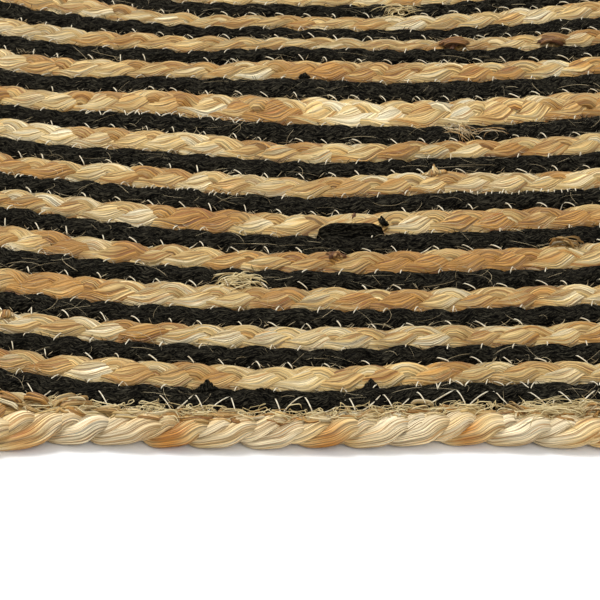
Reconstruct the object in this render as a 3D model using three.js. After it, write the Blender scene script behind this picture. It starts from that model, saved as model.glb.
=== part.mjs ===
// A round rug of plaited jute, lying flat. A natural jute braid and a narrower black braid are
// wound side by side from the centre, so their rows alternate, and each row is sewn to the next.
// A heavier jute braid goes once round the outside. Where a braid ends, it tapers and is tucked
// against the row inside it, so the edge steps in there and the outline isn't a true circle.
//
// Millimetres, +Z up. The rug lies on z = 0, with its outline centred on the origin.

import * as THREE from "three";

// Driving sizes.
const RUG_DIAMETER = 900;
const JUTE = { width: 11, thickness: 6.5 };
const BLACK = { width: 9, thickness: 6.3 };
const EDGE = { width: 10, thickness: 7 };
const SEAM = 0.3; // between one row and the next
const EYE_RADIUS = 1.5; // of the small eye that the first turn leaves at the centre

// The winding angle is in degrees, 0 where the jute braid starts at the centre, and it grows
// anticlockwise, seen from above.
const TURN = 360;
const INNER_STEP = 20;
const OUTER_STEP = 10;
const INNER_TURNS = 8; // turns that are made with the coarser step

// The turns are counted from the size. The first two hold little more than one row of jute, and
// each later turn is a jute row and a black row. The edge braid's rim steps by half a turn's width.
const PAIR = JUTE.width + BLACK.width;
const ROWS_RADIUS = RUG_DIAMETER / 2 - EDGE.width - PAIR / 4;
const FIRST_TURNS = { count: 2, radius: EYE_RADIUS + JUTE.width };
const ALL_TURNS = FIRST_TURNS.count + (ROWS_RADIUS - FIRST_TURNS.radius) / PAIR;
const JUTE_END = OUTER_STEP * Math.round((ALL_TURNS * TURN) / OUTER_STEP);

// The black braid joins in after the first jute turn, and ends half a turn before the jute braid.
const BLACK_START = TURN;
const BLACK_TAPER_IN = 100;
const BLACK_END = JUTE_END - TURN / 2;
const BLACK_TAPER_OUT = 30;

// How the end of the jute braid narrows: it drops to a few loose strands, which run on between
// the last black row and the edge braid. past is the way along the row, in millimetres, from
// JUTE_END, and width is what is left of the braid there.
const JUTE_TAIL = [
  { past: -30, width: 11 },
  { past: 0, width: 10.5 },
  { past: 10, width: 6.5 },
  { past: 21, width: 2.6 },
  { past: 45, width: 1.9 },
  { past: 70, width: 2.2 },
  { past: 100, width: 2.6 },
  { past: 125, width: 3 },
  { past: 170, width: 3 },
  { past: 215, width: 1.4 },
  { past: 230, width: 0 },
];
const LEAST_WIDTH = 1.1; // a narrower end isn't built
const TAIL_STATIONS = JUTE_TAIL.map((row) => JUTE_END + toAngle(row.past));
const TAIL_END = TAIL_STATIONS.at(-1);

// The rug is turned so that the jute braid ends just left of the middle of its front, at -Y.
const JUTE_END_HEADING = 259.4;

// A braid's section, as [share of its width, share of its thickness], round from the inside.
const BRAID_SECTION = [
  [0.18, 0],
  [0.82, 0],
  [1, 0.5],
  [0.8, 1],
  [0.2, 1],
  [0, 0.5],
];

function toAngle(along) {
  return THREE.MathUtils.radToDeg(along / ROWS_RADIUS);
}

function ramp(angle, from, to) {
  return THREE.MathUtils.clamp((angle - from) / (to - from), 0, 1);
}

function juteWidth(angle) {
  if (angle < TURN) return JUTE.width * ramp(angle, 0, TURN);
  const next = TAIL_STATIONS.findIndex((station) => angle < station);
  if (next === 0) return JUTE.width;
  if (next < 0) return 0;
  const share = ramp(angle, TAIL_STATIONS[next - 1], TAIL_STATIONS[next]);
  return THREE.MathUtils.lerp(JUTE_TAIL[next - 1].width, JUTE_TAIL[next].width, share);
}

function blackWidth(angle) {
  const begun = ramp(angle, BLACK_START, BLACK_START + BLACK_TAPER_IN);
  const left = 1 - ramp(angle, BLACK_END - BLACK_TAPER_OUT, BLACK_END);
  return BLACK.width * Math.min(begun, left);
}

// Each turn lies against the one before it, so its radius is all that was wound at its heading.
function juteInside(angle) {
  if (angle < TURN) return EYE_RADIUS;
  return blackInside(angle - TURN) + blackWidth(angle - TURN);
}

function blackInside(angle) {
  return juteInside(angle) + juteWidth(angle);
}

// The winding angles where a braid has a section. Each turn has them at the headings of the turn
// inside it, so the rows' flats lie parallel and a finer row is never inside a coarser one.
function stations(from, to, extra = []) {
  const found = extra.filter((angle) => angle >= from && angle <= to);
  for (let angle = from; angle <= to; angle += OUTER_STEP) {
    const coarse = angle < INNER_TURNS * TURN;
    if (!coarse || angle % INNER_STEP === 0) found.push(angle);
  }
  return [...new Set(found)].sort((a, b) => a - b);
}

// A solid with BRAID_SECTION at each station, between its inside and its inside plus its width.
function braid(name, colour, angles, { inside, width, thickness }, closed = false) {
  const corners = BRAID_SECTION.length;
  const places = [];
  for (const angle of angles) {
    const heading = THREE.MathUtils.degToRad(angle - JUTE_END + JUTE_END_HEADING);
    const from = inside(angle) + SEAM / 2;
    const wide = width(angle) - SEAM;
    for (const [across, up] of BRAID_SECTION) {
      const radius = from + across * wide;
      places.push(radius * Math.cos(heading), radius * Math.sin(heading), up * thickness);
    }
  }
  const faces = [];
  const spans = closed ? angles.length : angles.length - 1;
  for (let i = 0; i < spans; i += 1) {
    const here = i * corners;
    const there = ((i + 1) % angles.length) * corners;
    for (let k = 0; k < corners; k += 1) {
      const next = (k + 1) % corners;
      faces.push(here + k, there + k, there + next, here + k, there + next, here + next);
    }
  }
  if (!closed) {
    const last = (angles.length - 1) * corners;
    for (let k = 1; k < corners - 1; k += 1) {
      faces.push(0, k, k + 1, last, last + k + 1, last + k);
    }
  }
  const geometry = new THREE.BufferGeometry();
  geometry.setAttribute("position", new THREE.Float32BufferAttribute(places, 3));
  geometry.setIndex(faces);
  geometry.computeVertexNormals();
  const material = new THREE.MeshStandardMaterial({ color: colour, roughness: 0.85, metalness: 0 });
  const mesh = new THREE.Mesh(geometry, material);
  mesh.name = name;
  return mesh;
}

const rug = new THREE.Group();
rug.name = "jute_rug";

// The natural jute braid, which grows out of the eye at the centre and ends in tucked strands.
const juteStations = stations(0, TAIL_END, TAIL_STATIONS).filter(
  (angle) => juteWidth(angle) > LEAST_WIDTH,
);
rug.add(
  braid("jute_braid", "#c8a468", juteStations, {
    inside: juteInside,
    width: juteWidth,
    thickness: JUTE.thickness,
  }),
);

// The black braid, which starts and ends in a taper against the jute row inside it.
const blackStations = stations(BLACK_START, BLACK_END).filter(
  (angle) => blackWidth(angle) > LEAST_WIDTH,
);
rug.add(
  braid("black_braid", "#1d1b1a", blackStations, {
    inside: blackInside,
    width: blackWidth,
    thickness: BLACK.thickness,
  }),
);

// The edge braid is one closed ring round whatever row lies outermost.
const RING_START = OUTER_STEP * Math.ceil(TAIL_END / OUTER_STEP);
const ringStations = stations(
  RING_START,
  RING_START + TURN,
  TAIL_STATIONS.map((station) => station + TURN),
).filter((angle) => angle < RING_START + TURN);
rug.add(
  braid(
    "edge_braid",
    "#cfac70",
    ringStations,
    { inside: juteInside, width: () => EDGE.width, thickness: EDGE.thickness },
    true,
  ),
);

// The origin is under the middle of the outline.
const outline = new THREE.Box3().setFromObject(rug).getCenter(new THREE.Vector3());
rug.position.set(-outline.x, -outline.y, 0);

export default rug;
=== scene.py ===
import math

import bpy
import numpy as np
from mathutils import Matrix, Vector
from mathutils.bvhtree import BVHTree


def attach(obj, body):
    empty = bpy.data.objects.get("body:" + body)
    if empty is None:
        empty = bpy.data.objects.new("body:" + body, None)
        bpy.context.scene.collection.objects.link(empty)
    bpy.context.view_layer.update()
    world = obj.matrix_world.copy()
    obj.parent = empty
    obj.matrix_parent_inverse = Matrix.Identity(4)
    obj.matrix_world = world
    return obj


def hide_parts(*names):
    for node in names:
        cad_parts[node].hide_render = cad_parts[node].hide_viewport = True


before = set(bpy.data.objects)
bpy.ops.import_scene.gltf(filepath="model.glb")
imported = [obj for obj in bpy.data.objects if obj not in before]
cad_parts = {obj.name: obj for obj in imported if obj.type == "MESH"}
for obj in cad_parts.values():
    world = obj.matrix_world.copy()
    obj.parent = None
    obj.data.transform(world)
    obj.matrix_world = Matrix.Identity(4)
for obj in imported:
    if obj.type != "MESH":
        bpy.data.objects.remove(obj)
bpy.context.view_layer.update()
MM = 0.001

# The camera looks down on the front edge from just outside it, with a long lens, so that a
# stretch of about 130 mm of the edge fills the picture's width.
AIM = Vector((-0.0102, -0.3766, 0.0))
CAMERA_ELEVATION = math.radians(28.2)
CAMERA_DISTANCE = 0.75
CAMERA_LENS = 190.7

towards_camera = Vector((0, -math.cos(CAMERA_ELEVATION), math.sin(CAMERA_ELEVATION)))
bpy.ops.object.camera_add(location=AIM + towards_camera * CAMERA_DISTANCE)
camera = bpy.context.object
camera.rotation_mode = "QUATERNION"
camera.rotation_quaternion = (-towards_camera).to_track_quat("-Z", "Y")
camera.data.lens = CAMERA_LENS
camera.data.clip_start = 0.02
camera.data.clip_end = 60
bpy.context.scene.camera = camera

# The floor is a plain pale sheet, just under the rug.
FLOOR_SIZE = 30
FLOOR_DROP = 0.1 * MM
FLOOR_WHITE = (0.92, 0.92, 0.92, 1)

bpy.ops.mesh.primitive_plane_add(size=FLOOR_SIZE, location=(0, 0, -FLOOR_DROP))
floor = bpy.context.object
floor.name = "floor"
floor_finish = bpy.data.materials.new("floor_white")
floor_finish.use_nodes = True
floor_shader = floor_finish.node_tree.nodes["Principled BSDF"]
floor_shader.inputs["Base Color"].default_value = FLOOR_WHITE
floor_shader.inputs["Roughness"].default_value = 0.9
floor_shader.inputs["Specular IOR Level"].default_value = 0.0
floor.data.materials.append(floor_finish)

# Soft studio light: a pale room, a wide lamp overhead and a little behind, and a weak one in front.
ROOM_STRENGTH = 0.7

room = bpy.data.worlds.new("studio")
bpy.context.scene.world = room
room.use_nodes = True
room.node_tree.nodes["Background"].inputs["Color"].default_value = (1, 1, 1, 1)
room.node_tree.nodes["Background"].inputs["Strength"].default_value = ROOM_STRENGTH
bpy.context.scene.view_settings.view_transform = "Standard"


def add_lamp(name, location, size, power):
    """A square lamp that faces the middle of the front edge."""
    bpy.ops.object.light_add(type="AREA", location=location)
    lamp = bpy.context.object
    lamp.name = name
    lamp.data.size = size
    lamp.data.energy = power
    lamp.rotation_euler = (AIM - Vector(location)).to_track_quat("-Z", "Y").to_euler()


add_lamp("overhead_lamp", (-0.6, 0.6, 2.2), size=1.3, power=62)
add_lamp("front_lamp", (0.6, -2.2, 1.3), size=1.0, power=12)

# The jute braid, of three flat strands of raw jute, wound from a small eye at the centre. On the
# face each strand runs in from the side to the middle, so its lobes point the way the braid was
# wound. It ends at the front left, in strands that lie against the last black row.
JUTE_WIDTH = 11 * MM
JUTE_THICKNESS = 6.5 * MM
EYE_RADIUS = 1.5 * MM
CENTRE = np.array([-1.75, 1.23]) * MM

# The winding is told by its angle in degrees, which grows anticlockwise, seen from above.
TURN = 360
TURNS = 24
JUTE_START = 40
JUTE_END = 8330
JUTE_END_HEADING = 259.4
ROWS_RADIUS = 435 * MM

# How the braid narrows at its end: the way past JUTE_END, and the width there, in millimetres.
JUTE_TAIL = [
    {"past": -30, "width": 11},
    {"past": 0, "width": 10.5},
    {"past": 10, "width": 6.5},
    {"past": 21, "width": 2.6},
    {"past": 45, "width": 1.9},
    {"past": 70, "width": 2.2},
    {"past": 100, "width": 2.6},
    {"past": 125, "width": 3},
    {"past": 170, "width": 3},
    {"past": 215, "width": 1.4},
    {"past": 230, "width": 0},
]
tail_angles = [JUTE_END + math.degrees(row["past"] * MM / ROWS_RADIUS) for row in JUTE_TAIL]
tail_widths = [row["width"] * MM for row in JUTE_TAIL]

# The black braid lies between the jute rows, so its width belongs to the winding too. It tapers in
# after the first turn, and out before the jute braid's end.
BLACK_WIDTH = 9 * MM
BLACK_START = TURN
BLACK_END = JUTE_END - TURN / 2
BLACK_TAPER_IN = 100
BLACK_TAPER_OUT = 30


def jute_width(angle):
    grown = JUTE_WIDTH * np.clip(angle / TURN, 0, 1)
    left = np.interp(angle, tail_angles, tail_widths)
    return np.where(angle < tail_angles[0], grown, left)


def black_width(angle):
    begun = np.clip((angle - BLACK_START) / BLACK_TAPER_IN, 0, 1)
    left = np.clip((BLACK_END - angle) / BLACK_TAPER_OUT, 0, 1)
    return BLACK_WIDTH * np.minimum(begun, left)


def jute_inside(angle):
    """The radius of a jute row's inside: the eye and all that was wound there in earlier turns."""
    radius = np.full(np.shape(angle), EYE_RADIUS)
    for turn in range(1, TURNS + 1):
        earlier = angle - turn * TURN
        wound = jute_width(earlier) + black_width(earlier)
        radius = radius + np.where(earlier >= 0, wound, 0)
    return radius


def black_inside(angle):
    return jute_inside(angle) + jute_width(angle)


def heading_of(angle):
    return np.radians(angle - JUTE_END + JUTE_END_HEADING)


def over(radius, heading, height):
    """A place on the rug from its radius, its heading and its height."""
    across = CENTRE[0] + radius * np.cos(heading)
    away = CENTRE[1] + radius * np.sin(heading)
    return np.stack([across, away, np.broadcast_to(height, np.shape(across))], axis=-1)


# How the front rows wander from true circles, in millimetres outwards. Each line is a black row,
# counted in from the edge, with its offset at five places across the picture.
WANDER_AT = np.array([-80, -45, -10, 25, 60]) * MM
WANDER = [
    {"row": -1, "offsets": (1.5, 0, -2, -3.5, 0)},
    {"row": 0, "offsets": (-4.5, -0.5, -1, -5.5, -2)},
    {"row": 1, "offsets": (0, -1, -0.5, -1.5, 0.5)},
    {"row": 2, "offsets": (1.5, 2, 1, 1.5, 1.5)},
    {"row": 3, "offsets": (0.5, 1.5, 2, 2.5, 4)},
    {"row": 4, "offsets": (-1, 3, 4.5, 2.5, 2.5)},
    {"row": 5, "offsets": (1, 1, 3, 0.5, 3)},
    {"row": 6, "offsets": (2, 0.5, 3, 0, 2.5)},
    {"row": 7, "offsets": (2.5, -1, 2.5, 3.5, 3)},
    {"row": 8, "offsets": (2.5, -6, -8, -5.5, -5.5)},
    {"row": 9, "offsets": (1, -3, -10, -8, -4)},
    {"row": 10, "offsets": (2, 0, -3.5, -1.5, -0.5)},
    {"row": 11, "offsets": (0, 4.5, 1.5, 2, 0)},
    {"row": 13, "offsets": (0, 0, 0, 0, 0)},
]
WANDER_FADE = 60 * MM
FRONT_HEADING = 270


def row_radius(row):
    """The radius of the middle of a black row at the front, counted in from the edge."""
    angle = np.array(JUTE_END - TURN * (row + 1) + FRONT_HEADING - JUTE_END_HEADING)
    return float(black_inside(angle) + BLACK_WIDTH / 2)


wander_radii = [row_radius(row["row"]) for row in reversed(WANDER)]


def ease(share):
    return share * share * (3 - 2 * share)


def settle(radius, heading):
    """Where a circle of that radius lies once the rows' own wander is added."""
    x = CENTRE[0] + radius * np.cos(heading)
    gap = WANDER_AT[1] - WANDER_AT[0]
    fade_in = np.clip(1 + (x - WANDER_AT[0]) / WANDER_FADE, 0, 1)
    fade_out = np.clip(1 - (x - WANDER_AT[-1]) / WANDER_FADE, 0, 1)
    shift = np.zeros(np.shape(radius))
    for place in range(len(WANDER_AT)):
        offsets = [row["offsets"][place] * MM for row in reversed(WANDER)]
        weight = ease(np.clip(1 - np.abs(x - WANDER_AT[place]) / gap, 0, 1))
        if place == 0:
            weight = np.where(x < WANDER_AT[0], fade_in, weight)
        if place == len(WANDER_AT) - 1:
            weight = np.where(x > WANDER_AT[-1], fade_out, weight)
        shift = shift + weight * np.interp(radius, wander_radii, offsets)
    front = np.sin(heading) < 0
    return radius + np.where(front, shift, 0)


# Where the picture looks: there the rows are made with fine steps, and elsewhere with coarse ones.
CLOSE_LEFT = -100 * MM
CLOSE_RIGHT = 80 * MM
CLOSE_INSIDE = 198 * MM
ROUTE_STEP = 0.5


def in_picture(x, front, radius):
    return (x > CLOSE_LEFT) & (x < CLOSE_RIGHT) & (radius > CLOSE_INSIDE) & front


def make_route(inside, width, start, end):
    """Samples a row from its start to its end, with the length along its middle."""
    angle = np.arange(start, end, ROUTE_STEP)
    heading = heading_of(angle)
    low = settle(inside(angle), heading)
    high = settle(inside(angle) + width(angle), heading)
    middle = (low + high) / 2
    step = np.diff(np.radians(angle), prepend=np.radians(angle[0])) * middle
    x = CENTRE[0] + middle * np.cos(heading)
    return {
        "angle": angle,
        "length": np.cumsum(step),
        "near": in_picture(x, np.sin(heading) < 0, middle),
        "inside": inside,
        "width": width,
    }


def stretches(route):
    """Cuts a row into the stretches that are in the picture and the ones that aren't."""
    change = np.flatnonzero(np.diff(route["near"].astype(int)))
    ends = np.concatenate([[0], change, [len(route["near"]) - 1]])
    found = []
    for first, last in zip(ends[:-1], ends[1:]):
        near = bool(route["near"][(first + last + 1) // 2])
        found.append((route["length"][first], route["length"][last], near))
    return found


NOISE_VALUES = 40000


def smooth_noise(where, step, seed):
    """A value from -1 to 1 that changes smoothly, with a new chance value every step."""
    values = np.random.default_rng(seed).uniform(-1, 1, NOISE_VALUES)
    at = np.asarray(where) / step
    first = np.floor(at).astype(int)
    share = ease(at - first)
    return values[first % NOISE_VALUES] * (1 - share) + values[(first + 1) % NOISE_VALUES] * share


LEAST_HALF_ROW = 0.2 * MM
ROW_SWELL = 0.25 * MM
ROW_SWELL_LENGTH = 17 * MM


def strand_course(route, plait, strand, length):
    """Where a strand runs at those lengths along its row, and how wide and thick it is there."""
    angle = np.interp(length, route["length"], route["angle"])
    heading = heading_of(angle)
    low = settle(route["inside"](angle), heading)
    high = settle(route["inside"](angle) + route["width"](angle), heading)
    half = np.maximum((high - low) / 2, LEAST_HALF_ROW)
    scale = np.clip(half / plait["half"], 0.1, 1.6)
    height_scale = np.clip(scale * 1.2, 0.3, 1)
    seed = plait["seed"] + strand
    phase = 2 * np.pi * ((length - plait["shift"]) / plait["period"] + strand / 3)
    phase = phase + plait["uneven"] * smooth_noise(length, plait["period"] * 0.7, seed + 10)
    fat = 1 + plait["fatness"] * smooth_noise(phase, np.pi * 0.8, seed + 20)
    fat = fat * (1 + plait["leaf"] * np.cos(2 * (phase - plait["leaf_at"])))
    wide = plait["wide"] * fat * scale
    thick = plait["thick"] * (1 + 0.5 * (fat - 1)) * height_scale
    reach = np.maximum(half - wide * plait["tuck"], 0)
    out_and_in = np.sin(phase - plait["late"])
    swing = np.sign(out_and_in) * np.abs(out_and_in) ** plait["hug"]
    sideways = reach * swing + plait["lean"] * scale * np.minimum(np.cos(phase), 0) ** 2
    lift = plait["rise"] * height_scale
    height = plait["height"] / 2 - lift * (np.sin(2 * phase) + plait["climb"] * np.sin(4 * phase))
    height = height - plait["sag"] * np.sin(phase) ** 2
    height = height + ROW_SWELL * smooth_noise(length, ROW_SWELL_LENGTH, seed + 30)
    return {
        "length": length,
        "phase": phase,
        "middle": over((low + high) / 2 + sideways, heading, height),
        "wide": wide,
        "thick": thick,
        "outside": high,
    }


# Lobes at the front that stand out by their tone: x and y in millimetres, and how much browner
# the lobe is than the rest, or paler if it is less than 0.
TONES = [
    (-13, -253.5, 0.25),
    (-3, -256, 0.25),
    (8.5, -257, 0.25),
    (69, -255.5, 0.45),
    (43, -261.5, 0.3),
    (51.5, -260.5, 0.3),
    (-44, -273, 0.4),
    (-31, -270.5, 0.25),
    (-18, -284, 0.45),
    (60.5, -280.5, 0.3),
    (-70, -297, -0.12),
    (-49.5, -302.5, -0.12),
    (2.5, -302.5, -0.12),
    (44, -306, 0.25),
    (-47, -343.5, -0.12),
    (-33, -344, 0.4),
    (-15, -349, -0.15),
    (42, -346, 0.3),
    (60.5, -344.5, 0.3),
    (-81.5, -350, 0.3),
    (-70, -358.5, 0.3),
    (-51, -363, 0.3),
    (-30, -366, 0.15),
    (-18, -367, 0.15),
    (-8, -368.5, 0.25),
    (3, -368.5, 0.15),
    (13, -366.5, 0.3),
    (25, -367.5, 0.15),
    (36.5, -368, 0.3),
    (47, -366, 0.15),
    (-72, -376.5, 0.25),
    (-59.5, -382, 0.2),
    (-45, -384, -0.1),
    (-36, -385, -0.1),
    (9, -388.5, 0.3),
    (15.5, -388.5, 0.3),
    (33, -389.5, 0.3),
    (46, -387.5, 0.25),
    (-69, -446, 0.55),
    (-38, -446, 0.55),
    (-3.5, -446, 0.5),
    (26.5, -446, 0.7),
    (54, -447, 0.5),
]
TONE_LENGTH = 6 * MM
TONE_DEPTH = 4 * MM
LOBE_START = math.radians(40)
LOBE_VALUES = 5000
DRIFT = 0.075
DRIFT_LENGTH = 200 * MM


def lobe_tones(course, plait, seed):
    """How brown a strand is along its way. Each lobe has a chance tone, and some add one of TONES."""
    lobe = (course["phase"] - LOBE_START) / np.pi
    chance = np.random.default_rng(seed + 50).uniform(0, 1, LOBE_VALUES)
    number = np.floor(lobe).astype(int)
    blend = np.clip((lobe - number) * 6, 0, 1)
    before = chance[(number - 1) % LOBE_VALUES]
    brown = chance[number % LOBE_VALUES] * blend + before * (1 - blend)
    drift = 1 + smooth_noise(course["length"], DRIFT_LENGTH, plait["seed"] + 60)
    brown = plait["mixed"] * brown ** 1.5 + DRIFT * drift
    for x, y, tone in TONES:
        sideways = (course["middle"][:, 0] - x * MM) / TONE_LENGTH
        away = (course["middle"][:, 1] - y * MM) / TONE_DEPTH
        brown = brown + tone * np.exp(-(sideways ** 2 + away ** 2))
    return brown


SQUARENESS = 2.2


def sweep(middle, wide, thick, roll, relief):
    """The rings of a tube along the points of middle, flat across and thin upwards."""
    along = np.gradient(middle, axis=0)
    along /= np.linalg.norm(along, axis=1)[:, None]
    across = np.cross(along, [0, 0, 1])
    across /= np.linalg.norm(across, axis=1)[:, None]
    up = np.cross(across, along)
    turned = np.cos(roll)[:, None] * across + np.sin(roll)[:, None] * up
    upturned = np.cos(roll)[:, None] * up - np.sin(roll)[:, None] * across
    sides = relief.shape[1] - 1
    angle = -np.pi / 2 - 2 * np.pi * np.arange(sides + 1) / sides
    angle[-1] = angle[0]
    sideways = np.sign(np.cos(angle)) * np.abs(np.cos(angle)) ** (2 / SQUARENESS)
    upwards = np.sign(np.sin(angle)) * np.abs(np.sin(angle)) ** (2 / SQUARENESS)
    grown = 1 + relief
    return (
        middle[:, None, :]
        + (wide[:, None] * sideways * grown)[:, :, None] * turned[:, None, :]
        + (thick[:, None] * upwards * grown)[:, :, None] * upturned[:, None, :]
    )


def press(rings, outside, depth):
    """Presses a strand in where it comes nearer to the row's outside than that depth."""
    flat = rings[:, :, :2] - CENTRE
    out = np.linalg.norm(flat, axis=2)
    proud = np.maximum(out - (outside[:, None] - depth), 0)
    eased = out - proud + proud / (1 + proud / depth)
    rings[:, :, :2] = CENTRE + flat * (eased / out)[:, :, None]


def tube(rings, around, along, tint):
    """A strand's skin, a grid whose columns go round the strand and whose rows go along it."""
    rows, columns = rings.shape[:2]
    bpy.ops.mesh.primitive_grid_add(x_subdivisions=columns - 1, y_subdivisions=rows - 1, size=1)
    skin = bpy.context.object
    skin.data.vertices.foreach_set("co", rings.astype(np.float32).ravel())
    corners = np.empty(len(skin.data.loops), dtype=np.int32)
    skin.data.loops.foreach_get("vertex_index", corners)
    places = np.stack([around.ravel(), along.ravel()], axis=1)[corners]
    skin.data.uv_layers.active.data.foreach_set("uv", places.astype(np.float32).ravel())
    shade = skin.data.attributes.new("tint", "FLOAT", "POINT")
    shade.data.foreach_set("value", tint.astype(np.float32).ravel())
    return skin


FLOOR_CLEAR = 0.05 * MM
BUNDLE_COUNT = 5
BUNDLE_SWAY = 0.6
BUNDLE_SWAY_LENGTH = 9 * MM
WAY_FOR_LENGTH = 1.1


def strand_tube(route, plait, strand, start, end, near):
    """One strand of a plait, between two lengths along its row."""
    steps, sides = plait["near_steps"] if near else plait["far_steps"]
    count = max(4, int(round((end - start) / plait["period"] * steps)))
    course = strand_course(route, plait, strand, np.linspace(start, end, count + 1))
    middle = course["middle"]
    seed = plait["seed"] + strand
    way = np.cumsum(np.linalg.norm(np.diff(middle, axis=0, prepend=middle[:1]), axis=1))
    way = way + start * WAY_FOR_LENGTH
    girth = 2 * np.pi * math.sqrt((plait["wide"] ** 2 + plait["thick"] ** 2) / 2)
    relief = np.zeros((count + 1, sides + 1))
    if near:
        around = np.arange(sides + 1) / sides
        around[-1] = 0
        sway = BUNDLE_SWAY * smooth_noise(way, BUNDLE_SWAY_LENGTH, seed + 40)
        turned = 2 * np.pi * plait["twist"] * way / girth + sway
        bundle = BUNDLE_COUNT * (2 * np.pi * around[None, :] + turned[:, None])
        relief = plait["bundles"] * np.sin(bundle)
    roll = -plait["roll"] * np.sin(course["phase"]) * np.sin(2 * course["phase"])
    closed = np.ones(count + 1)
    closed[0] = closed[-1] = 0
    rings = sweep(middle, course["wide"] * closed, course["thick"] * closed, roll, relief)
    rings[:, :, 2] = np.maximum(rings[:, :, 2], FLOOR_CLEAR)
    if "pressed" in plait:
        press(rings, course["outside"], plait["pressed"])
    around = np.arange(sides + 1)[None, :] / sides * girth + plait["twist"] * way[:, None]
    along = np.tile(way[:, None], (1, sides + 1))
    tint = np.tile(lobe_tones(course, plait, seed)[:, None], (1, sides + 1))
    return tube(rings, around, along, tint)


def join_tubes(name, tubes):
    """Joins the tubes to one piece, and closes each along its seam and at its ends."""
    bpy.ops.object.select_all(action="DESELECT")
    for skin in tubes:
        skin.select_set(True)
    bpy.context.view_layer.objects.active = tubes[0]
    if len(tubes) > 1:
        bpy.ops.object.join()
    piece = bpy.context.object
    piece.name = name
    piece.data.name = name
    bpy.ops.object.mode_set(mode="EDIT")
    bpy.ops.mesh.select_all(action="SELECT")
    bpy.ops.mesh.remove_doubles(threshold=1e-6)
    bpy.ops.object.mode_set(mode="OBJECT")
    bpy.ops.object.shade_smooth()
    return piece


STRETCH_OVERLAP = 1.2 * MM


def plait_row(name, route, plait, finish, node):
    """The three strands of a braid, each its own piece, in place of the braid's plain solid."""
    for strand in range(3):
        tubes = []
        for start, end, near in stretches(route):
            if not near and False:
                continue
            start = max(start - STRETCH_OVERLAP, route["length"][0])
            end = min(end + STRETCH_OVERLAP, route["length"][-1])
            tubes.append(strand_tube(route, plait, strand, start, end, near))
        piece = join_tubes(f"{name}_strand_{strand + 1}", tubes)
        piece.data.materials.clear()
        piece.data.materials.append(finish)
        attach(piece, "root")
        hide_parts(node)


def add_node(tree, kind, inputs=(), **settings):
    """Adds a shader node, with its settings and its unlinked inputs."""
    node = tree.nodes.new(kind)
    for key, value in settings.items():
        setattr(node, key, value)
    for key, value in dict(inputs).items():
        node.inputs[key].default_value = value
    return node


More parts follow.
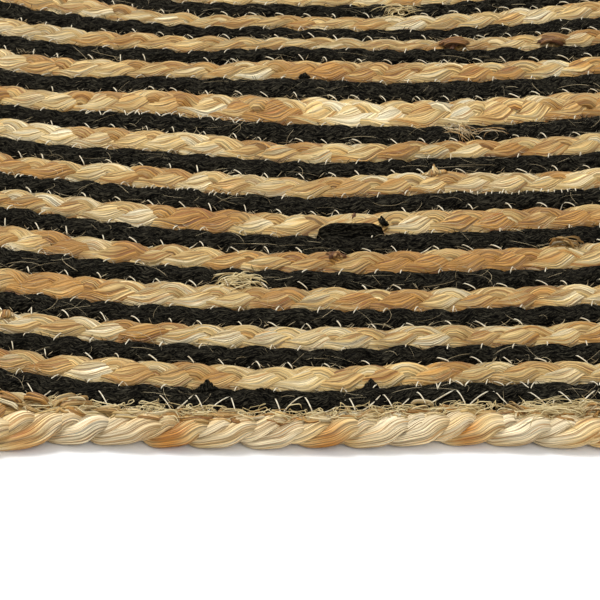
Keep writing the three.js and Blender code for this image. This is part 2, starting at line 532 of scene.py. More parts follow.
def jute_finish(name, pale, straw, brown, streak=1.1):
    """Raw jute: long fibres that lie along the strand, straw coloured with pale and brown ones."""
    material = bpy.data.materials.new(name)
    material.use_nodes = True
    tree = material.node_tree
    link = tree.links.new
    shader = tree.nodes["Principled BSDF"]
    shader.inputs["Roughness"].default_value = 0.5
    shader.inputs["Specular IOR Level"].default_value = 0.35
    place = add_node(tree, "ShaderNodeUVMap")
    fibres = {}
    for layer, scale, detail, distortion in (
        ("hairs", (2900, 50, 1), 3.0, 0.2),
        ("bundles", (900, 18, 1), 2.0, 0.15),
        ("tones", (460, 34, 1), 3.0, 0.2),
    ):
        drawn_out = add_node(tree, "ShaderNodeMapping", {"Scale": scale})
        noise = {"Scale": 1.0, "Detail": detail, "Roughness": 0.6, "Distortion": distortion}
        fibres[layer] = add_node(tree, "ShaderNodeTexNoise", noise)
        link(place.outputs["UV"], drawn_out.inputs["Vector"])
        link(drawn_out.outputs["Vector"], fibres[layer].inputs["Vector"])
    # Each lobe has its own tone, which changes from bundle to bundle.
    lobe = add_node(tree, "ShaderNodeAttribute", attribute_name="tint")
    moved = add_node(tree, "ShaderNodeMath", {1: streak}, operation="MULTIPLY_ADD")
    link(fibres["tones"].outputs["Fac"], moved.inputs[0])
    link(lobe.outputs["Fac"], moved.inputs[2])
    ramp = add_node(tree, "ShaderNodeValToRGB")
    ramp.color_ramp.elements[0].position = 0.42
    ramp.color_ramp.elements[0].color = (*pale, 1)
    ramp.color_ramp.elements[1].position = 0.95
    ramp.color_ramp.elements[1].color = (*brown, 1)
    ramp.color_ramp.elements.new(0.7).color = (*straw, 1)
    link(moved.outputs[0], ramp.inputs["Fac"])
    # Painted shade darkens the thin partings between the bundles with a brown tone, and single hairs
    # are lighter or darker.
    off_parting = add_node(tree, "ShaderNodeMath", {1: 0.5}, operation="SUBTRACT")
    parting = add_node(tree, "ShaderNodeMath", operation="ABSOLUTE")
    link(fibres["bundles"].outputs["Fac"], off_parting.inputs[0])
    link(off_parting.outputs[0], parting.inputs[0])
    parting_range = {"From Min": 0.004, "From Max": 0.035, "To Min": 0.0, "To Max": 1.0}
    # The partings' mask, used both for the bump's relief and for the painted shade in the colour.
    gap = add_node(tree, "ShaderNodeMapRange", parting_range)
    link(parting.outputs[0], gap.inputs["Value"])
    hair_range = {"From Min": 0.3, "From Max": 0.7, "To Min": 0.3, "To Max": 1.6}
    hair = add_node(tree, "ShaderNodeMapRange", hair_range)
    link(fibres["hairs"].outputs["Fac"], hair.inputs["Value"])
    shade = add_node(tree, "ShaderNodeMath", operation="MULTIPLY")
    link(gap.outputs["Result"], shade.inputs[0])
    link(hair.outputs["Result"], shade.inputs[1])
    # The painted shade in the partings: brown where the mask is 0, none where it is 1, multiplied into
    # the colour.
    parting_shade_tones = {"Color1": (0.58, 0.42, 0.27, 1), "Color2": (1, 1, 1, 1)}
    parting_shade = add_node(tree, "ShaderNodeMixRGB", parting_shade_tones)
    link(gap.outputs["Result"], parting_shade.inputs["Fac"])
    streaks_and_shade = add_node(tree, "ShaderNodeMixRGB", {"Fac": 1.0}, blend_type="MULTIPLY")
    link(parting_shade.outputs["Color"], streaks_and_shade.inputs["Color1"])
    link(hair.outputs["Result"], streaks_and_shade.inputs["Color2"])
    tinted = add_node(tree, "ShaderNodeMixRGB", {"Fac": 1.0}, blend_type="MULTIPLY")
    link(ramp.outputs["Color"], tinted.inputs["Color1"])
    link(streaks_and_shade.outputs["Color"], tinted.inputs["Color2"])
    link(tinted.outputs["Color"], shader.inputs["Base Color"])
    bump = add_node(tree, "ShaderNodeBump", {"Strength": 0.9, "Distance": 0.5 * MM})
    link(shade.outputs[0], bump.inputs["Height"])
    link(bump.outputs["Normal"], shader.inputs["Normal"])
    return material


jute_route = make_route(jute_inside, jute_width, JUTE_START, tail_angles[4])
JUTE_PLAIT = {
    "seed": 100,
    "period": 28.5 * MM,  # the way along the row in which a strand goes across and back
    "shift": 0,  # of the whole plait along the row
    "half": 5.5 * MM,  # half the row's width
    "wide": 3.15 * MM,  # half the strand's width
    "thick": 2.7 * MM,  # half the strand's thickness
    "rise": 0.45 * MM,  # how far a strand goes over and under
    "height": JUTE_THICKNESS,
    "tuck": 0.9,  # how much of the strand's half width stays inside the row
    "hug": 0.95,  # below 1, a strand keeps longer to the sides
    "lean": 0,  # how far outwards a strand is drawn on its way in
    "climb": 0,  # a quicker second rise, as a share of the first
    "sag": 0,  # how much lower a strand lies at the sides
    "late": 0,  # how far the way across lags behind the rise
    "roll": -0.6,  # the tilt at the sides
    "uneven": 0.4,  # how far the plaiting runs early or late
    "fatness": 0.12,  # how much strands swell by chance
    "leaf": 0.2,  # how much a lobe is fatter in its middle
    "leaf_at": math.radians(128),  # where that middle is
    "bundles": 0.06,  # the relief of the fibre bundles
    "twist": 0.12,  # the slant of the fibres on the strand
    "mixed": 0.3,  # how much the lobes' tones differ
    "near_steps": (22, 16),  # for each period, and round the strand
    "far_steps": (8, 4),
}
jute = jute_finish("jute", (0.87, 0.77, 0.52), (0.69, 0.485, 0.19), (0.46, 0.23, 0.05))
plait_row("jute", jute_route, JUTE_PLAIT, jute, node="jute_braid")

# The black braid is the same plait, narrower and thinner, of dyed fibre that is matt and fuzzy.
# It is wound beside the jute braid from the second turn on, and ends half a turn before it.
BLACK_THICKNESS = 6.3 * MM
black_route = make_route(black_inside, black_width, BLACK_START + 15, BLACK_END - 3)
BLACK_PLAIT = dict(
    JUTE_PLAIT,
    seed=200,
    period=25.5 * MM,
    half=BLACK_WIDTH / 2,
    wide=2.9 * MM,
    thick=2.9 * MM,
    rise=0.35 * MM,
    leaf=0.05,
    height=BLACK_THICKNESS,
    near_steps=(16, 10),
    far_steps=(5, 4),
)
black = bpy.data.materials.new("black_jute")
black.use_nodes = True
black_tree = black.node_tree
black_shader = black_tree.nodes["Principled BSDF"]
black_shader.inputs["Roughness"].default_value = 0.85
black_shader.inputs["Specular IOR Level"].default_value = 0.02
black_place = add_node(black_tree, "ShaderNodeUVMap")
black_map = add_node(black_tree, "ShaderNodeMapping", {"Scale": (2800, 620, 1)})
black_fuzz = {"Scale": 1.0, "Detail": 4.0, "Roughness": 0.7, "Distortion": 1.2}
black_noise = add_node(black_tree, "ShaderNodeTexNoise", black_fuzz)
black_ramp = add_node(black_tree, "ShaderNodeValToRGB")
black_ramp.color_ramp.elements[0].position = 0.48
black_ramp.color_ramp.elements[0].color = (0.0008, 0.0007, 0.0004, 1)
black_ramp.color_ramp.elements[1].position = 0.74
black_ramp.color_ramp.elements[1].color = (0.09, 0.079, 0.054, 1)
black_bump = add_node(black_tree, "ShaderNodeBump", {"Strength": 1.0, "Distance": 0.6 * MM})
black_tree.links.new(black_place.outputs["UV"], black_map.inputs["Vector"])
black_tree.links.new(black_map.outputs["Vector"], black_noise.inputs["Vector"])
black_tree.links.new(black_noise.outputs["Fac"], black_ramp.inputs["Fac"])
black_tree.links.new(black_ramp.outputs["Color"], black_shader.inputs["Base Color"])
black_tree.links.new(black_noise.outputs["Fac"], black_bump.inputs["Height"])
black_tree.links.new(black_bump.outputs["Normal"], black_shader.inputs["Normal"])
plait_row("black", black_route, BLACK_PLAIT, black, node="black_braid")

# The edge braid is heavier jute, once round the outside. It is plaited with its middle drawn in, so
# that its outer lobes are long and lean to the right.
EDGE_WIDTH = 8.6 * MM
EDGE_THICKNESS = 7 * MM
EDGE_DIP = 0.4 * MM
EDGE_LOBES = 264
EDGE_LAP = 0.5
RING_START = 10 * math.ceil(tail_angles[-1] / 10)


def edge_width(angle):
    return np.full(np.shape(angle), EDGE_WIDTH)


edge_route = make_route(jute_inside, edge_width, RING_START, RING_START + TURN + EDGE_LAP)
EDGE_PLAIT = dict(
    JUTE_PLAIT,
    seed=300,
    period=edge_route["length"][-1] / (EDGE_LOBES / 3),
    shift=4 * MM,
    half=EDGE_WIDTH / 2,
    wide=2.8 * MM,
    thick=1.8 * MM,
    rise=1.3 * MM,
    height=EDGE_THICKNESS - EDGE_DIP,
    hug=0.85,
    leaf=0.36,
    leaf_at=math.radians(108),
    lean=-2.0 * MM,
    climb=0.25,
    sag=0.7 * MM,
    late=math.radians(25),
    uneven=0.25,
    roll=-0.1,
    mixed=0.14,
    pressed=1.3 * MM,
    near_steps=(40, 24),
    far_steps=(12, 6),
)
edge_jute = jute_finish("edge_jute", (0.90, 0.745, 0.475), (0.78, 0.54, 0.23), (0.58, 0.245, 0.04), 0.7)
plait_row("edge", edge_route, EDGE_PLAIT, edge_jute, node="edge_braid")

# The sewing: a cream cotton thread that zigzags over each join, from a hole in one braid to a hole
# in the next. One leg of each stitch is short and steep, and the other runs on to the next hole.
THREAD_RADIUS = 0.15 * MM
THREAD_SINK = 0.4 * MM
THREAD_POINTS = 7
THREAD_SIDES = 5
THREAD_SPREAD = (0.75, 1.1)
STITCHES_SKIPPED = 0.08
STITCH_UNEVEN = 0.16
STEEP_UNEVEN = (0.5, 1.7)
HOLE_ASTRAY = 0.6
SEAM_STEP = 0.25


def fibre_finish(name, roughness, scale, dark, pale):
    """A single fibre or thread, darker and paler by turns. Each tone is a position and a colour."""
    material = bpy.data.materials.new(name)
    material.use_nodes = True
    tree = material.node_tree
    shader = tree.nodes["Principled BSDF"]
    shader.inputs["Roughness"].default_value = roughness
    place = add_node(tree, "ShaderNodeTexCoord")
    noise = add_node(tree, "ShaderNodeTexNoise", {"Scale": scale, "Detail": 2.0})
    ramp = add_node(tree, "ShaderNodeValToRGB")
    for element, (position, colour) in zip(ramp.color_ramp.elements, (dark, pale)):
        element.position = position
        element.color = (*colour, 1)
    tree.links.new(place.outputs["Object"], noise.inputs["Vector"])
    tree.links.new(noise.outputs["Fac"], ramp.inputs["Fac"])
    tree.links.new(ramp.outputs["Color"], shader.inputs["Base Color"])
    return material


thread_dark = (0.3, (0.48, 0.39, 0.24))
thread_pale = (0.65, (0.76, 0.69, 0.52))
thread = fibre_finish("thread", 0.55, 900.0, thread_dark, thread_pale)


def thread_rings(paths, thick, sides):
    """The corners round each thread, at all its points but the two ends."""
    along = np.gradient(paths, axis=1)
    along /= np.linalg.norm(along, axis=2)[:, :, None] + 1e-12
    across = np.cross(along, [0.0, 0.05, 1.0])
    across /= np.linalg.norm(across, axis=2)[:, :, None] + 1e-12
    up = np.cross(across, along)
    turn = 2 * np.pi * np.arange(sides) / sides
    sideways = np.cos(turn)[None, None, :, None] * across[:, 1:-1, None, :]
    upwards = np.sin(turn)[None, None, :, None] * up[:, 1:-1, None, :]
    return paths[:, 1:-1, None, :] + thick[:, None, None, None] * (sideways + upwards)


def thread_faces(points, sides):
    """The triangles of one thread, whose two end points are numbered after its rings."""
    inner = (points - 2) * sides
    last = inner - sides
    faces = []
    for k in range(sides):
        after = (k + 1) % sides
        faces.append((inner, k, after))
        faces.append((inner + 1, last + after, last + k))
        for ring in range(points - 3):
            here = ring * sides
            faces.append((here + k, here + sides + k, here + sides + after))
            faces.append((here + k, here + sides + after, here + after))
    return np.array(faces)


def lay_threads(name, paths, radius, sides, finish):
    """Many thin threads as one mesh, each along its own points and pointed at both ends."""
    count, points = paths.shape[:2]
    thick = np.broadcast_to(radius, (count,))
    inner = (points - 2) * sides
    rings = thread_rings(paths, thick, sides).reshape(count, inner, 3)
    places = np.concatenate([rings, paths[:, :1], paths[:, -1:]], axis=1)
    faces = thread_faces(points, sides)[None] + (np.arange(count) * (inner + 2))[:, None, None]
    corners = faces.astype(np.int32).ravel()
    threads = bpy.data.meshes.new(name)
    threads.vertices.add(count * (inner + 2))
    threads.vertices.foreach_set("co", places.astype(np.float32).ravel())
    threads.loops.add(len(corners))
    threads.loops.foreach_set("vertex_index", corners)
    threads.polygons.add(len(corners) // 3)
    threads.polygons.foreach_set("loop_start", np.arange(0, len(corners), 3, dtype=np.int32))
    threads.update(calc_edges=True)
    threads.validate()
    threads.polygons.foreach_set("use_smooth", np.ones(len(corners) // 3, dtype=bool))
    # A tone for each thread, and a place in the fibres' pattern that runs along it.
    chance = np.random.default_rng(count)
    tint = np.repeat(chance.uniform(0, 0.5, count), inner + 2)
    threads.attributes.new("tint", "FLOAT", "POINT").data.foreach_set("value", tint.astype(np.float32))
    way = np.cumsum(np.linalg.norm(np.diff(paths, axis=1, prepend=paths[:, :1]), axis=2), axis=1)
    way = way + chance.uniform(0, 5, count)[:, None]
    along = np.concatenate([np.repeat(way[:, 1:-1], sides, axis=1), way[:, :1], way[:, -1:]], axis=1)
    around = np.arange(sides)[None, None, :] / sides * 2 * np.pi * thick[:, None, None]
    around = np.broadcast_to(around, (count, points - 2, sides)).reshape(count, inner)
    around = np.concatenate([around, np.zeros((count, 2))], axis=1)
    pattern = np.stack([around.ravel(), along.ravel()], axis=1)[corners]
    threads.uv_layers.new(name="UVMap").data.foreach_set("uv", pattern.astype(np.float32).ravel())
    piece = bpy.data.objects.new(name, threads)
    bpy.context.collection.objects.link(piece)
    threads.materials.append(finish)
    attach(piece, "root")
    return piece


braids = [f"{braid}_strand_{number}" for braid in ("jute", "black", "edge") for number in (1, 2, 3)]
graph = bpy.context.evaluated_depsgraph_get()
cover = [BVHTree.FromObject(bpy.data.objects[braid], graph) for braid in braids]
ABOVE_ALL = 20 * MM


def drape(paths, clear):
    """Lifts the threads' points to the top of the braids, clear of them by that much."""
    for place in paths.reshape(-1, 3):
        above = (place[0], place[1], ABOVE_ALL)
        hits = [tree.ray_cast(above, (0, 0, -1))[0] for tree in cover]
        place[2] = max([place[2]] + [hit[2] + clear for hit in hits if hit])
    return paths


def bowed(start, end, rise, points):
    """Lays threads from start to end, with their middles raised by rise."""
    share = np.linspace(0, 1, points)[None, :, None]
    straight = start[:, None, :] * (1 - share) + end[:, None, :] * share
    return straight + 4 * share * (1 - share) * rise[:, None, None] * np.array([0, 0, 1])


def sew(name, join, start, end, seam):
    """A zigzag over a join. Each hole is given as its distance outwards from the join, and height."""
    chance = np.random.default_rng(seam["seed"])
    angle = np.arange(start, end, SEAM_STEP)
    step = np.diff(np.radians(angle), prepend=np.radians(angle[0]))
    length = np.cumsum(step * settle(join(angle), heading_of(angle)))
    stitches = int(length[-1] / seam["stitch"])
    late = chance.uniform(-STITCH_UNEVEN, STITCH_UNEVEN, stitches)
    holes = (np.arange(stitches) + late) * seam["stitch"]
    first = np.interp(holes, length, angle)
    turns = holes + seam["steep"] * chance.uniform(*STEEP_UNEVEN, stitches)
    turn_at = np.interp(turns, length, angle)

    def hole(at, place):
        across = place[0] + chance.uniform(-HOLE_ASTRAY, HOLE_ASTRAY, stitches) * MM
        return over(settle(join(at), heading_of(at)) + across, heading_of(at), place[1])

    black_hole = hole(first, seam["black_hole"])
    jute_hole = hole(turn_at, seam["jute_hole"])
    next_hole = np.roll(black_hole, -1, axis=0)
    x = black_hole[:, 0]
    y = black_hole[:, 1]
    near = in_picture(x, y < 0, np.hypot(x, y))
    used = chance.uniform(0, 1, stitches) > STITCHES_SKIPPED
    used[-1] = False
    rise = chance.uniform(*seam["rise"], stitches)
    sunk = chance.uniform(*seam["sunk"], stitches)
    close = near & used
    ends = drape(np.stack([black_hole[close], jute_hole[close], next_hole[close]], axis=1), 0)
    steep_leg = bowed(ends[:, 0], ends[:, 1], rise[close], THREAD_POINTS)
    steep_leg = drape(steep_leg, THREAD_RADIUS * 0.5)
    steep_leg[:, 0, 2] -= THREAD_SINK
    steep_leg[:, -1, 2] -= THREAD_SINK
    slack_leg = bowed(ends[:, 1], ends[:, 2], sunk[close], THREAD_POINTS)
    legs = np.concatenate([steep_leg, slack_leg])
    radius = THREAD_RADIUS * chance.uniform(*THREAD_SPREAD, len(legs))
    lay_threads(f"{name}_close", legs, radius, THREAD_SIDES, thread)
    rest = ~near & used
    if rest.any():
        steep_leg = bowed(black_hole[rest], jute_hole[rest], rise[rest], 3)
        lay_threads(f"{name}_far", steep_leg, THREAD_RADIUS, 3, thread)


SEAM_BEHIND_JUTE = {
    "seed": 410,
    "stitch": 8 * MM,  # from one hole to the next in the same braid
    "steep": 1.8 * MM,  # how far along the row the steep leg runs
    "black_hole": (-1.3 * MM, 5.6 * MM),
    "jute_hole": (2.2 * MM, 5.6 * MM),
    "rise": (0.1 * MM, 0.6 * MM),  # the bow of the steep leg
    "sunk": (-4.5 * MM, -1.6 * MM),  # the bow of the other leg, which sinks into the join
}
SEAM_BEFORE_JUTE = dict(
    SEAM_BEHIND_JUTE,
    seed=420,
    steep=0.9 * MM,
    black_hole=(3.0 * MM, 5.6 * MM),
    jute_hole=(-0.3 * MM, 5.6 * MM),
    sunk=(-5 * MM, -2 * MM),
)
sew("sewing_behind_jute", jute_inside, BLACK_START + TURN, tail_angles[2], SEAM_BEHIND_JUTE)
sew("sewing_before_jute", black_inside, BLACK_START + 60, BLACK_END - 30, SEAM_BEFORE_JUTE)

# Mends in the sewing: at one join the stitches stand close together, and at two others a second
# thread crosses the first, so that the stitches look like a row of open Vs.
DENSE_SEAM = dict(
    SEAM_BEFORE_JUTE,
    stitch=1.7 * MM,
    steep=0.5 * MM,
    black_hole=(3.2 * MM, 5.6 * MM),
    jute_hole=(1.1 * MM, 5.6 * MM),
)
RIGHT_LEGS = dict(
    SEAM_BEFORE_JUTE,
    seed=450,
    stitch=7 * MM,
    steep=1.6 * MM,
    black_hole=(4.6 * MM, 5.6 * MM),
    jute_hole=(0.6 * MM, 5.6 * MM),
)
LEFT_LEGS = dict(RIGHT_LEGS, steep=-1.6 * MM)
sew("dense_sewing_left", black_inside, 6165, 6168.5, dict(DENSE_SEAM, seed=441))
sew("dense_sewing_middle", black_inside, 6172, 6177.5, dict(DENSE_SEAM, seed=442))
sew("dense_sewing_right", black_inside, 6185.5, 6192, dict(DENSE_SEAM, seed=443))
sew("crossed_sewing_1", black_inside, 7983.5, 7990.5, RIGHT_LEGS)
sew("crossed_sewing_2", black_inside, 7983.5, 7990.5, LEFT_LEGS)
sew("crossed_sewing_3", black_inside, 5448, 5458, dict(RIGHT_LEGS, stitch=4.8 * MM))
sew("crossed_sewing_4", black_inside, 5448, 5458, dict(LEFT_LEGS, stitch=4.8 * MM))

# Past its plaited part the jute braid runs on as loose strands, which lie tangled between the last
# black row and the edge braid, and partly on top of the edge braid's inner side.
tangled = bpy.data.materials.new("loose_strand")
tangled.use_nodes = True
tangled_tree = tangled.node_tree
tangled_shader = tangled_tree.nodes["Principled BSDF"]
tangled_shader.inputs["Roughness"].default_value = 0.6
tangled_shader.inputs["Specular IOR Level"].default_value = 0.2
tangled_place = add_node(tangled_tree, "ShaderNodeTexCoord")
tangled_fibres = {"Scale": 420.0, "Detail": 6.0, "Roughness": 0.75}
tangled_noise = add_node(tangled_tree, "ShaderNodeTexNoise", tangled_fibres)
tangled_ramp = add_node(tangled_tree, "ShaderNodeValToRGB")
tangled_ramp.color_ramp.elements[0].position = 0.42
tangled_ramp.color_ramp.elements[0].color = (0.24, 0.145, 0.05, 1)
tangled_ramp.color_ramp.elements[1].position = 0.98
tangled_ramp.color_ramp.elements[1].color = (0.78, 0.66, 0.39, 1)
tangled_ramp.color_ramp.elements.new(0.62).color = (0.54, 0.42, 0.20, 1)
tangled_tint = add_node(tangled_tree, "ShaderNodeAttribute", attribute_name="tint")
tangled_tone = add_node(tangled_tree, "ShaderNodeMath", {1: 0.8}, operation="MULTIPLY_ADD")
tangled_tree.links.new(tangled_place.outputs["Object"], tangled_noise.inputs["Vector"])
tangled_tree.links.new(tangled_tint.outputs["Fac"], tangled_tone.inputs[0])
tangled_tree.links.new(tangled_noise.outputs["Fac"], tangled_tone.inputs[2])
tangled_tree.links.new(tangled_tone.outputs[0], tangled_ramp.inputs["Fac"])
tangled_tree.links.new(tangled_ramp.outputs["Color"], tangled_shader.inputs["Base Color"])

LEAST_HEIGHT = 0.5 * MM
CURL_LIFT = 0.5 * MM


def curls(chance, count, kind):
    """The way along, the way sideways and the height of curling strands."""
    share = np.linspace(0, 1, kind["points"])[None, :]

    def pick(low, high):
        return chance.uniform(low, high, count)[:, None]

    turn = 2 * np.pi * (pick(*kind["loops"]) * share + pick(0, 1))
    curl = pick(0.2, 1) * kind["curl"]
    along = pick(*kind["length"]) * (share - 0.5) + curl * np.sin(turn)
    out = kind["spread"] * chance.normal(0, 0.5, count)[:, None] + 0.7 * curl * np.cos(turn)
    out = out + kind["spread"] * pick(-0.6, 0.6) * (share - 0.5)
    height = pick(*kind["height"]) + CURL_LIFT * np.sin(turn * 0.7 + pick(0, 6))
    height = height - kind["dip"] * np.abs(2 * share - 1) ** 6
    return along, out, np.maximum(height, LEAST_HEIGHT)


TANGLE_SPAN = (14 * MM, 200 * MM)


def tangle(name, count, kind, finish):
    """Curling strands along the braid's loose end, which covers TANGLE_SPAN past JUTE_END."""
    chance = np.random.default_rng(kind["seed"])
    along, out, height = curls(chance, count, kind)
    along = along + chance.uniform(*TANGLE_SPAN, count)[:, None]
    angle = JUTE_END + np.degrees(along / ROWS_RADIUS)
    middle = settle(jute_inside(angle) + jute_width(angle) / 2, heading_of(angle)) + kind["middle"]
    paths = drape(over(middle + out, heading_of(angle), height), kind["clear"])
    radius = chance.uniform(*kind["radius"], count)
    return lay_threads(name, paths, radius, kind["sides"], finish)


LOOSE_STRANDS = {
    "seed": 510,
    "length": (2.5 * MM, 7 * MM),
    "loops": (0.2, 1.1),  # turns of the curl
    "curl": 1.3 * MM,  # the curl's radius, at most
    "middle": 3.0 * MM,  # how far outside the braid's own middle they lie
    "spread": 2.4 * MM,
    "height": (4.4 * MM, 6.2 * MM),
    "dip": 1.6 * MM,  # how far the ends go down
    "clear": -0.1 * MM,  # from the braids under them
    "radius": (0.22 * MM, 0.6 * MM),
    "points": 13,
    "sides": 6,
}
LOOSE_CURLS = dict(
    LOOSE_STRANDS,
    seed=520,
    length=(1.5 * MM, 6 * MM),
    loops=(0.2, 1.2),
    curl=1.6 * MM,
    middle=2.4 * MM,
    spread=3.0 * MM,
    height=(5.4 * MM, 7.0 * MM),
    clear=0.1 * MM,
    radius=(0.05 * MM, 0.13 * MM),
    points=10,
    sides=4,
)
loose = tangle("loose_strands", 300, LOOSE_STRANDS, jute)
tangle("loose_curls", 560, LOOSE_CURLS, tangled)

# The last seam, round the inside of the edge braid, is sewn over the loose strands.
SEAM_AT_EDGE = dict(
    SEAM_BEHIND_JUTE,
    seed=430,
    steep=2.4 * MM,
    black_hole=(-4.0 * MM, 5.6 * MM),
    jute_hole=(2.8 * MM, 5.0 * MM),
    rise=(0.3 * MM, 0.9 * MM),
    sunk=(-1.4 * MM, 1.0 * MM),
)
cover.append(BVHTree.FromObject(loose, bpy.context.evaluated_depsgraph_get()))
sew("sewing_at_edge", jute_inside, tail_angles[2], tail_angles[2] + TURN, SEAM_AT_EDGE)
cover.pop()

# Tufts and knots, where a strand was joined or has frayed. Each is a bundle of short curling
# strands at its own place on the front rows, in millimetres from the rug's centre.
TUFT = {
    "length": (4 * MM, 9 * MM),
    "loops": (0.2, 0.9),
    "curl": 1.0 * MM,
    "spread": 1.6 * MM,
    "height": (5.8 * MM, 7.2 * MM),
    "dip": 1.5 * MM,
    "clear": 0.1 * MM,
    "radius": (0.08 * MM, 0.3 * MM),
    "astray": 0.35,  # how far strands turn from the tuft's heading, in radians
    "points": 12,
    "sides": 5,
}
ORANGE_TUFT = dict(TUFT, height=(5.4 * MM, 8 * MM))
FLAP = dict(TUFT, radius=(0.4 * MM, 0.8 * MM))
BROWN_TIP = dict(TUFT, radius=(0.4 * MM, 0.7 * MM))
KNOT = dict(
    TUFT,
    length=(2 * MM, 3.5 * MM),
    curl=1.1 * MM,
    spread=0.7 * MM,
    radius=(0.3 * MM, 0.6 * MM),
)
BLACK_KNOT = dict(KNOT, radius=(0.2 * MM, 0.4 * MM))
BROWN_SPOT = dict(KNOT, radius=(0.15 * MM, 0.3 * MM), spread=0.2 * MM)
BULGE = dict(
    TUFT,
    length=(14 * MM, 18 * MM),
    loops=(0, 0.1),
    spread=1.4 * MM,
    curl=0.5 * MM,
    dip=3 * MM,
    astray=0.06,
    radius=(0.9 * MM, 1.4 * MM),
)
FRAY = dict(
    TUFT,
    length=(4 * MM, 12 * MM),
    loops=(0.4, 1.5),
    spread=2.5 * MM,
    curl=2.4 * MM,
    radius=(0.05 * MM, 0.14 * MM),
)
STRAY = dict(
    FRAY,
    length=(4 * MM, 9 * MM),
    loops=(0.05, 0.4),
    spread=1.2 * MM,
    radius=(0.05 * MM, 0.11 * MM),
)
LUMP = dict(
    KNOT,
    length=(2 * MM, 6 * MM),
    loops=(0.2, 1.1),
    spread=1.7 * MM,
    height=(5.2 * MM, 6.8 * MM),
    radius=(0.1 * MM, 0.34 * MM),
)
END_LUMP = dict(LUMP, spread=2.2 * MM)
END_FUZZ = dict(
    LUMP,
    length=(2 * MM, 14 * MM),
    loops=(0.3, 1.4),
    spread=2.6 * MM,
    radius=(0.04 * MM, 0.1 * MM),
)
LONG_FUZZ = dict(END_FUZZ, length=(2 * MM, 20 * MM), spread=3.2 * MM)
FOLD = dict(
    TUFT,
    length=(5 * MM, 8 * MM),
    loops=(0.05, 0.25),
    spread=1.1 * MM,
    astray=0.2,
    radius=(0.4 * MM, 0.8 * MM),
)
rust = jute_finish("rust_jute", (0.55, 0.32, 0.11), (0.36, 0.17, 0.05), (0.16, 0.06, 0.02))


def tuft(name, at, heading, count, seed, kind, finish):
    """A bundle of strands round a place, with its strands along the heading in degrees."""
    chance = np.random.default_rng(seed)
    along, out, height = curls(chance, count, kind)
    way = np.radians(heading) + chance.normal(0, kind["astray"], count)[:, None]
    x = at[0] * MM + along * np.cos(way) - out * np.sin(way)
    y = at[1] * MM + along * np.sin(way) + out * np.cos(way)
    paths = drape(np.stack([x, y, height], axis=2), kind["clear"])
    lay_threads(name, paths, chance.uniform(*kind["radius"], count), kind["sides"], finish)


tuft("black_bulge", (2.2, -353.4), 2, 10, 610, BULGE, black)
tuft("black_knot", (10, -348.6), 120, 8, 611, BLACK_KNOT, black)
tuft("brown_knot", (-1.6, -366.8), 10, 16, 620, KNOT, rust)
tuft("orange_tuft_right", (53.4, -360.5), -20, 30, 621, ORANGE_TUFT, jute)
tuft("frayed_right", (31.5, -295.8), 128, 26, 623, STRAY, edge_jute)
tuft("frayed_right_across", (38.5, -297.5), 5, 7, 637, STRAY, edge_jute)
tuft("brown_spot", (3, -345.5), 80, 4, 639, BROWN_SPOT, rust)
tuft("frayed_back", (17.4, -217.7), 20, 22, 624, FRAY, tangled)
tuft("frayed_loops", (-24.7, -378.9), 5, 34, 625, FRAY, tangled)
tuft("orange_flap", (-59.3, -436), 15, 7, 626, FLAP, jute)
tuft("brown_tip_back", (31.8, -239.9), 25, 6, 627, BROWN_TIP, rust)
tuft("brown_tip_back_right", (58.7, -238.5), 25, 6, 628, BROWN_TIP, rust)
tuft("tail_lump_left", (37, -438.5), -50, 50, 629, LUMP, jute)
tuft("tail_lump_end", (54, -439), 10, 46, 631, END_LUMP, jute)
tuft("tail_fuzz", (44, -438.5), 0, 90, 632, LONG_FUZZ, tangled)
tuft("tail_fuzz_end", (53, -437), 0, 60, 636, END_FUZZ, tangled)
tuft("tail_fold_1", (-74, -434.5), -28, 9, 633, FOLD, jute)
tuft("tail_fold_2", (-67.5, -435.5), -32, 9, 634, FOLD, jute)
tuft("tail_fold_3", (-62, -434.8), 38, 8, 635, FOLD, jute)

# Peaks, where the ends of a strand stand up over the row behind: four of black strand, and two
# flaps of jute. The ends draw together towards the tip, and at blunt 1 they meet in a point.
PEAK_FOOT_HEIGHT = 5.2 * MM
PEAK_CLEAR = 0.15 * MM
PEAK_POINTS = 8
BLACK_PEAK = {"finish": black, "slot": "black_jute", "blunt": 0.72}
ORANGE_FLAP = {"finish": jute, "slot": "jute", "blunt": 1}


def peak(name, at, base, reach, lift, count, seed, kind):
    """A fan of strand ends, whose width, reach and rise are in millimetres."""
    chance = np.random.default_rng(seed)
    share = np.linspace(0, 1, PEAK_POINTS)[None, :]
    place = chance.uniform(-0.5, 0.5, count)[:, None]
    length = chance.uniform(0.6, 1.0, count)[:, None] * np.cos(np.pi * place / 1.3)
    x = at[0] * MM + place * base * MM * (1 - kind["blunt"] * share * length)
    y = at[1] * MM + reach * MM * share * length
    height = PEAK_FOOT_HEIGHT + lift * MM * share * length
    paths = drape(np.stack([x, y, height], axis=2), PEAK_CLEAR)
    radius = chance.uniform(0.25, 0.45, count) * MM
    lay_threads(name, paths, radius, 5, kind["finish"])


peak("black_peak_left", (-30.6, -430.4), 6.2, 3.5, 2.2, 44, 612, BLACK_PEAK)
peak("black_peak_middle", (-17.5, -431), 5, 1.6, 1.2, 32, 613, BLACK_PEAK)
peak("black_peak_right", (5.5, -427.8), 3.4, 2.6, 1.4, 20, 619, BLACK_PEAK)
peak("black_peak_back", (-9, -261), 3.6, 2.2, 0.9, 16, 618, BLACK_PEAK)
peak("orange_flap_right", (23.5, -322.5), 6.4, 7.8, 0.6, 36, 622, ORANGE_FLAP)
peak("orange_flap_left", (-77.5, -397), 3.4, 5.5, 0.6, 18, 638, ORANGE_FLAP)

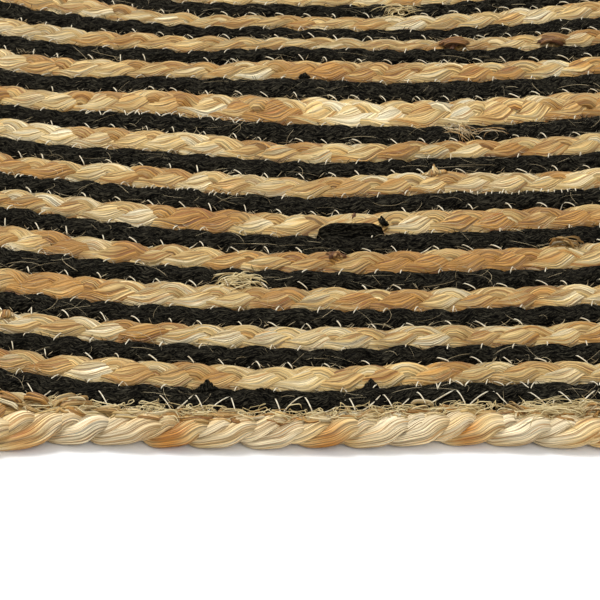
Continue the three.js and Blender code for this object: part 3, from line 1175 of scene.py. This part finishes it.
# Loose fibres: single hairs of jute that have worked out of the plaits. Most lie over the rows, and
# the short ones stand out of the sides of a braid, over its neighbour.
hair_dark = (0.35, (0.30, 0.22, 0.10))
hair_pale = (0.62, (0.66, 0.54, 0.32))
hair = fibre_finish("loose_fibre", 0.5, 160.0, hair_dark, hair_pale)
HAIR_POINTS = 8
HAIR_HEIGHT = 6.1 * MM
HAIRS_ACROSS = 0.3
LOOSE_HAIRS = {"length": (3 * MM, 13 * MM), "radius": (0.012 * MM, 0.04 * MM)}


def strew(name, count, seed, kind, finish):
    """Thin curved hairs, laid at chance places over the rows that show close up."""
    chance = np.random.default_rng(seed)
    x = chance.uniform(CLOSE_LEFT, CLOSE_RIGHT, count)[:, None]
    outer = chance.uniform(CLOSE_INSIDE ** 2, ROWS_RADIUS ** 2, count)[:, None] ** 0.5
    share = np.linspace(0, 1, HAIR_POINTS)[None, :]
    size = chance.uniform(*kind["length"], count)[:, None]
    direction = chance.normal(0, 0.5, count)[:, None]
    across = chance.uniform(0, 1, count)[:, None] < HAIRS_ACROSS
    direction = direction + np.where(across, np.pi / 2, 0)
    way = direction + chance.normal(0, 1.0, count)[:, None] * share
    x_points = x + np.cumsum(np.cos(way) * size / HAIR_POINTS, axis=1)
    out_points = outer + np.cumsum(np.sin(way) * size / HAIR_POINTS, axis=1)
    bow = chance.uniform(0.1, 0.7, count)[:, None] * MM
    height = HAIR_HEIGHT + bow * 4 * share * (1 - share)
    heading = -np.pi / 2 + np.arcsin(np.clip((x_points - CENTRE[0]) / out_points, -1, 1))
    paths = drape(over(out_points, heading, height), 0.02 * MM)
    lay_threads(name, paths, chance.uniform(*kind["radius"], count), 3, finish)


FRINGE_POINTS = 4
FRINGE_HEIGHT = 5.0
JUTE_FRINGE = {"count": 2400, "length": (1 * MM, 3.4 * MM), "radius": (0.03 * MM, 0.08 * MM)}
BLACK_FRINGE = {"count": 2400, "length": (1 * MM, 2.6 * MM), "radius": (0.04 * MM, 0.1 * MM)}
OUTSIDE = 1
INSIDE = -1


def fringe(name, route, side, seed, kind, finish):
    """Short hairs at the outside or the inside of a row."""
    chance = np.random.default_rng(seed)
    count = kind["count"]
    close = route["angle"][route["near"]]
    angle = close[chance.integers(0, len(close), count)] + chance.uniform(-0.25, 0.25, count)
    edge = route["inside"](angle) + (route["width"](angle) if side == OUTSIDE else 0)
    start = settle(edge, heading_of(angle)) - side * chance.uniform(0.3, 2.2, count) * MM
    share = np.linspace(0, 1, FRINGE_POINTS)[None, :]
    size = chance.uniform(*kind["length"], count)[:, None]
    lean = chance.uniform(0.05, 0.9, count)[:, None] + chance.normal(0, 0.35, count)[:, None] * share
    along = size * np.cumsum(np.cos(lean), axis=1) / FRINGE_POINTS
    along = along * np.where(chance.uniform(0, 1, count) < 0.5, -1, 1)[:, None]
    radius = start[:, None] + side * size * np.cumsum(np.sin(lean), axis=1) / FRINGE_POINTS
    heading = heading_of(angle)[:, None] + along / radius
    height = (FRINGE_HEIGHT + chance.uniform(-1, 1, count)[:, None] * share) * MM
    paths = drape(over(radius, heading, height), 0)
    lay_threads(name, paths, chance.uniform(*kind["radius"], count), 3, finish)


strew("loose_fibres", 600, 540, LOOSE_HAIRS, hair)
fringe("fringe_inside_jute", jute_route, INSIDE, 550, JUTE_FRINGE, hair)
fringe("fringe_outside_jute", jute_route, OUTSIDE, 560, JUTE_FRINGE, hair)
fringe("fringe_of_black", black_route, INSIDE, 570, BLACK_FRINGE, black)
